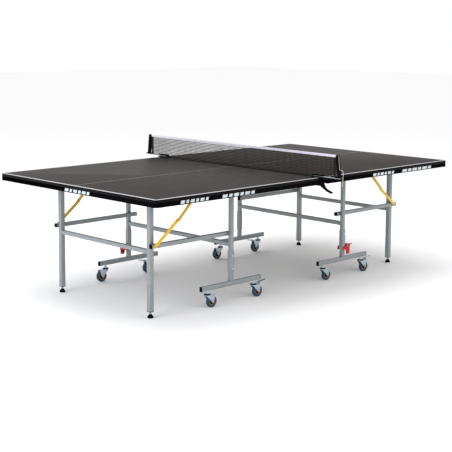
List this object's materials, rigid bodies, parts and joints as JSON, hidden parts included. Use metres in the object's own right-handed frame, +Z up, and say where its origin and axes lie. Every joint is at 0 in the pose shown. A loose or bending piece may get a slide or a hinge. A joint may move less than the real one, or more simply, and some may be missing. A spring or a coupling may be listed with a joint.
{
  "type": "folding ping pong table",
  "caption": "Folding ping pong table: two boards on wheeled trolleys with folding legs, yellow braces and a lift-off net held by corner clamps.",
  "frame": {"origin": "on the floor, under the middle of the net", "axes": "+X along the table's length, +Y across it, +Z up"},
  "size_m": [2.74, 1.8667, 0.9126],
  "materials": {
    "playing_surface": "dark warm grey satin paint with white lines",
    "apron_black": "black powder coat",
    "frame_grey": "silver grey powder coat",
    "zinc": "bright zinc plate",
    "black_plastic": "moulded, fine texture",
    "brace_yellow": "yellow powder coat",
    "latch_red": "red powder coat",
    "tyre_blue": "dark blue rubber tyre on a brown rim",
    "net_mesh": "knotted net with a white tape",
    "cord_cream": "twisted cotton cord"
  },
  "bodies": {
    "near_trolley": {"near_trolley_frame": "frame_grey", "near_leg_sleeves": "frame_grey", "near_sleeve_bolts": "zinc", "near_base_end_caps": "black_plastic"},
    "near_board": {"near_tabletop": "playing_surface", "near_apron_rails": "apron_black", "near_hinge_brackets": "zinc", "near_hinge_pins": "zinc"},
    "near_outer_leg_frame": {"near_outer_legs": "frame_grey"},
    "near_side_bar_pair": {"near_side_bars": "frame_grey", "near_side_bar_caps": "black_plastic"},
    "near_lower_links": {"near_brace_lower_links": "brace_yellow"},
    "near_upper_links": {"near_brace_upper_links": "brace_yellow"},
    "near_right_outer_fork": {"near_right_outer_caster_fork": "zinc"},
    "near_right_outer_wheel": {"near_right_outer_wheel": "tyre_blue"},
    "near_right_net_fork": {"near_right_net_caster_fork": "zinc"},
    "near_right_net_wheel": {"near_right_net_wheel": "tyre_blue"},
    "near_right_pedal": {"near_right_brake_pedal": "zinc"},
    "near_right_foot": {"near_right_foot": "black_plastic"},
    "near_left_outer_fork": {"near_left_outer_caster_fork": "zinc"},
    "near_left_outer_wheel": {"near_left_outer_wheel": "tyre_blue"},
    "near_left_net_fork": {"near_left_net_caster_fork": "zinc"},
    "near_left_net_wheel": {"near_left_net_wheel": "tyre_blue"},
    "near_left_pedal": {"near_left_brake_pedal": "zinc"},
    "near_left_foot": {"near_left_foot": "black_plastic"},
    "near_latch": {"near_safety_latch": "latch_red"},
    "far_trolley": {"far_trolley_frame": "frame_grey", "far_leg_sleeves": "frame_grey", "far_sleeve_bolts": "zinc", "far_base_end_caps": "black_plastic"},
    "far_board": {"far_tabletop": "playing_surface", "far_apron_rails": "apron_black", "far_hinge_brackets": "zinc", "far_hinge_pins": "zinc"},
    "far_outer_leg_frame": {"far_outer_legs": "frame_grey"},
    "far_side_bar_pair": {"far_side_bars": "frame_grey", "far_side_bar_caps": "black_plastic"},
    "far_lower_links": {"far_brace_lower_links": "brace_yellow"},
    "far_upper_links": {"far_brace_upper_links": "brace_yellow"},
    "far_right_outer_fork": {"far_right_outer_caster_fork": "zinc"},
    "far_right_outer_wheel": {"far_right_outer_wheel": "tyre_blue"},
    "far_right_pedal": {"far_right_brake_pedal": "zinc"},
    "far_right_net_fork": {"far_right_net_caster_fork": "zinc"},
    "far_right_net_wheel": {"far_right_net_wheel": "tyre_blue"},
    "far_right_foot": {"far_right_foot": "black_plastic"},
    "far_left_outer_fork": {"far_left_outer_caster_fork": "zinc"},
    "far_left_outer_wheel": {"far_left_outer_wheel": "tyre_blue"},
    "far_left_pedal": {"far_left_brake_pedal": "zinc"},
    "far_left_net_fork": {"far_left_net_caster_fork": "zinc"},
    "far_left_net_wheel": {"far_left_net_wheel": "tyre_blue"},
    "far_left_foot": {"far_left_foot": "black_plastic"},
    "far_latch": {"far_safety_latch": "latch_red"},
    "net_set": {"net_clamps": "black_plastic", "net_arms": "zinc", "net_posts": "apron_black", "net": "net_mesh", "net_tension_cord": "cord_cream"},
    "net_right_lever": {"net_right_clamp_lever": "black_plastic"},
    "net_left_lever": {"net_left_clamp_lever": "black_plastic"}
  },
  "joints": [
    {"name": "near_board_fold", "type": "hinge", "parent": "near_trolley", "child": "near_board", "pos_m": [-0.535, 0, 0.69], "axis": [0, 1, 0], "range_deg": [0, 90]},
    {"name": "near_outer_leg_fold", "type": "hinge", "parent": "near_board", "child": "near_outer_leg_frame", "pos_m": [-1.133, 0, 0.69], "axis": [0, 1, 0], "range_deg": [-90, 0]},
    {"name": "near_side_bar_fold", "type": "hinge", "parent": "near_trolley", "child": "near_side_bar_pair", "pos_m": [-0.535, 0, 0.432], "axis": [0, 1, 0], "range_deg": [0, 90]},
    {"name": "near_lower_link_fold", "type": "hinge", "parent": "near_side_bar_pair", "child": "near_lower_links", "pos_m": [-1.133, 0, 0.432], "axis": [0, 1, 0], "range_deg": [0, 55]},
    {"name": "near_upper_link_fold", "type": "hinge", "parent": "near_board", "child": "near_upper_links", "pos_m": [-0.833, 0, 0.69], "axis": [0, 1, 0], "range_deg": [-116, 0]},
    {"name": "near_right_outer_swivel", "type": "hinge", "parent": "near_trolley", "child": "near_right_outer_fork", "pos_m": [-0.735, -0.4975, 0.1], "axis": [0, 0, 1], "continuous": true},
    {"name": "near_right_outer_roll", "type": "hinge", "parent": "near_right_outer_fork", "child": "near_right_outer_wheel", "pos_m": [-0.701, -0.4975, 0.0375], "axis": [0, 1, 0], "continuous": true},
    {"name": "near_right_net_swivel", "type": "hinge", "parent": "near_trolley", "child": "near_right_net_fork", "pos_m": [-0.335, -0.4975, 0.1], "axis": [0, 0, 1], "continuous": true},
    {"name": "near_right_net_roll", "type": "hinge", "parent": "near_right_net_fork", "child": "near_right_net_wheel", "pos_m": [-0.301, -0.4975, 0.0375], "axis": [0, 1, 0], "continuous": true},
    {"name": "near_right_brake", "type": "hinge", "parent": "near_right_net_fork", "child": "near_right_pedal", "pos_m": [-0.284, -0.4975, 0.088], "axis": [0, 1, 0], "range_deg": [0, 10]},
    {"name": "near_right_foot_screw", "type": "slide", "parent": "near_outer_leg_frame", "child": "near_right_foot", "axis": [0, 0, -1], "range_m": [0, 0.012]},
    {"name": "near_left_outer_swivel", "type": "hinge", "parent": "near_trolley", "child": "near_left_outer_fork", "pos_m": [-0.735, 0.4975, 0.1], "axis": [0, 0, 1], "continuous": true},
    {"name": "near_left_outer_roll", "type": "hinge", "parent": "near_left_outer_fork", "child": "near_left_outer_wheel", "pos_m": [-0.769, 0.4975, 0.0375], "axis": [0, 1, 0], "continuous": true},
    {"name": "near_left_net_swivel", "type": "hinge", "parent": "near_trolley", "child": "near_left_net_fork", "pos_m": [-0.335, 0.4975, 0.1], "axis": [0, 0, 1], "continuous": true},
    {"name": "near_left_net_roll", "type": "hinge", "parent": "near_left_net_fork", "child": "near_left_net_wheel", "pos_m": [-0.369, 0.4975, 0.0375], "axis": [0, 1, 0], "continuous": true},
    {"name": "near_left_brake", "type": "hinge", "parent": "near_left_net_fork", "child": "near_left_pedal", "pos_m": [-0.386, 0.4975, 0.088], "axis": [0, -1, 0], "range_deg": [0, 10]},
    {"name": "near_left_foot_screw", "type": "slide", "parent": "near_outer_leg_frame", "child": "near_left_foot", "axis": [0, 0, -1], "range_m": [0, 0.012]},
    {"name": "near_latch_turn", "type": "hinge", "parent": "near_trolley", "child": "near_latch", "pos_m": [-0.564, 0.4975, 0.211], "axis": [0, -1, 0], "range_deg": [0, 25], "stiffness_Nm_per_rad": 1, "springref_deg": -20.05},
    {"name": "far_board_fold", "type": "hinge", "parent": "far_trolley", "child": "far_board", "pos_m": [0.535, 0, 0.69], "axis": [0, -1, 0], "range_deg": [0, 90]},
    {"name": "far_outer_leg_fold", "type": "hinge", "parent": "far_board", "child": "far_outer_leg_frame", "pos_m": [1.133, 0, 0.69], "axis": [0, -1, 0], "range_deg": [-90, 0]},
    {"name": "far_side_bar_fold", "type": "hinge", "parent": "far_trolley", "child": "far_side_bar_pair", "pos_m": [0.535, 0, 0.432], "axis": [0, -1, 0], "range_deg": [0, 90]},
    {"name": "far_lower_link_fold", "type": "hinge", "parent": "far_side_bar_pair", "child": "far_lower_links", "pos_m": [1.133, 0, 0.432], "axis": [0, -1, 0], "range_deg": [0, 55]},
    {"name": "far_upper_link_fold", "type": "hinge", "parent": "far_board", "child": "far_upper_links", "pos_m": [0.833, 0, 0.69], "axis": [0, -1, 0], "range_deg": [-116, 0]},
    {"name": "far_right_outer_swivel", "type": "hinge", "parent": "far_trolley", "child": "far_right_outer_fork", "pos_m": [0.735, -0.4975, 0.1], "axis": [0, 0, 1], "continuous": true},
    {"name": "far_right_outer_roll", "type": "hinge", "parent": "far_right_outer_fork", "child": "far_right_outer_wheel", "pos_m": [0.769, -0.4975, 0.0375], "axis": [0, 1, 0], "continuous": true},
    {"name": "far_right_brake", "type": "hinge", "parent": "far_right_outer_fork", "child": "far_right_pedal", "pos_m": [0.786, -0.4975, 0.088], "axis": [0, 1, 0], "range_deg": [0, 10]},
    {"name": "far_right_net_swivel", "type": "hinge", "parent": "far_trolley", "child": "far_right_net_fork", "pos_m": [0.335, -0.4975, 0.1], "axis": [0, 0, 1], "continuous": true},
    {"name": "far_right_net_roll", "type": "hinge", "parent": "far_right_net_fork", "child": "far_right_net_wheel", "pos_m": [0.369, -0.4975, 0.0375], "axis": [0, 1, 0], "continuous": true},
    {"name": "far_right_foot_screw", "type": "slide", "parent": "far_outer_leg_frame", "child": "far_right_foot", "axis": [0, 0, -1], "range_m": [0, 0.012]},
    {"name": "far_left_outer_swivel", "type": "hinge", "parent": "far_trolley", "child": "far_left_outer_fork", "pos_m": [0.735, 0.4975, 0.1], "axis": [0, 0, 1], "continuous": true},
    {"name": "far_left_outer_roll", "type": "hinge", "parent": "far_left_outer_fork", "child": "far_left_outer_wheel", "pos_m": [0.701, 0.4975, 0.0375], "axis": [0, 1, 0], "continuous": true},
    {"name": "far_left_brake", "type": "hinge", "parent": "far_left_outer_fork", "child": "far_left_pedal", "pos_m": [0.684, 0.4975, 0.088], "axis": [0, -1, 0], "range_deg": [0, 10]},
    {"name": "far_left_net_swivel", "type": "hinge", "parent": "far_trolley", "child": "far_left_net_fork", "pos_m": [0.335, 0.4975, 0.1], "axis": [0, 0, 1], "continuous": true},
    {"name": "far_left_net_roll", "type": "hinge", "parent": "far_left_net_fork", "child": "far_left_net_wheel", "pos_m": [0.301, 0.4975, 0.0375], "axis": [0, 1, 0], "continuous": true},
    {"name": "far_left_foot_screw", "type": "slide", "parent": "far_outer_leg_frame", "child": "far_left_foot", "axis": [0, 0, -1], "range_m": [0, 0.012]},
    {"name": "far_latch_turn", "type": "hinge", "parent": "far_trolley", "child": "far_latch", "pos_m": [0.564, -0.4975, 0.211], "axis": [0, 1, 0], "range_deg": [0, 25], "stiffness_Nm_per_rad": 1, "springref_deg": -20.05},
    {"name": "halves_apart", "type": "slide", "parent": "near_trolley", "child": "far_trolley", "axis": [1, 0, 0], "range_m": [0, 0.6]},
    {"name": "net_lift", "type": "slide", "parent": "near_trolley", "child": "net_set", "axis": [0, 0, 1], "range_m": [0, 0.3]},
    {"name": "net_right_clamp_turn", "type": "hinge", "parent": "net_set", "child": "net_right_lever", "pos_m": [0, -0.752, 0.722], "axis": [1, 0, 0], "range_deg": [0, 60]},
    {"name": "net_left_clamp_turn", "type": "hinge", "parent": "net_set", "child": "net_left_lever", "pos_m": [0, 0.752, 0.722], "axis": [-1, 0, 0], "range_deg": [0, 60]}
  ],
  "couplings": [
    {"joint": "near_outer_leg_fold", "follows": "near_board_fold", "ratio": -1},
    {"joint": "near_side_bar_fold", "follows": "near_board_fold", "ratio": 1},
    {"joint": "near_lower_link_fold", "follows": "near_board_fold", "ratio": 0.60912},
    {"joint": "near_upper_link_fold", "follows": "near_board_fold", "ratio": -1.2821},
    {"joint": "far_outer_leg_fold", "follows": "far_board_fold", "ratio": -1},
    {"joint": "far_side_bar_fold", "follows": "far_board_fold", "ratio": 1},
    {"joint": "far_lower_link_fold", "follows": "far_board_fold", "ratio": 0.60912},
    {"joint": "far_upper_link_fold", "follows": "far_board_fold", "ratio": -1.2821}
  ]
}
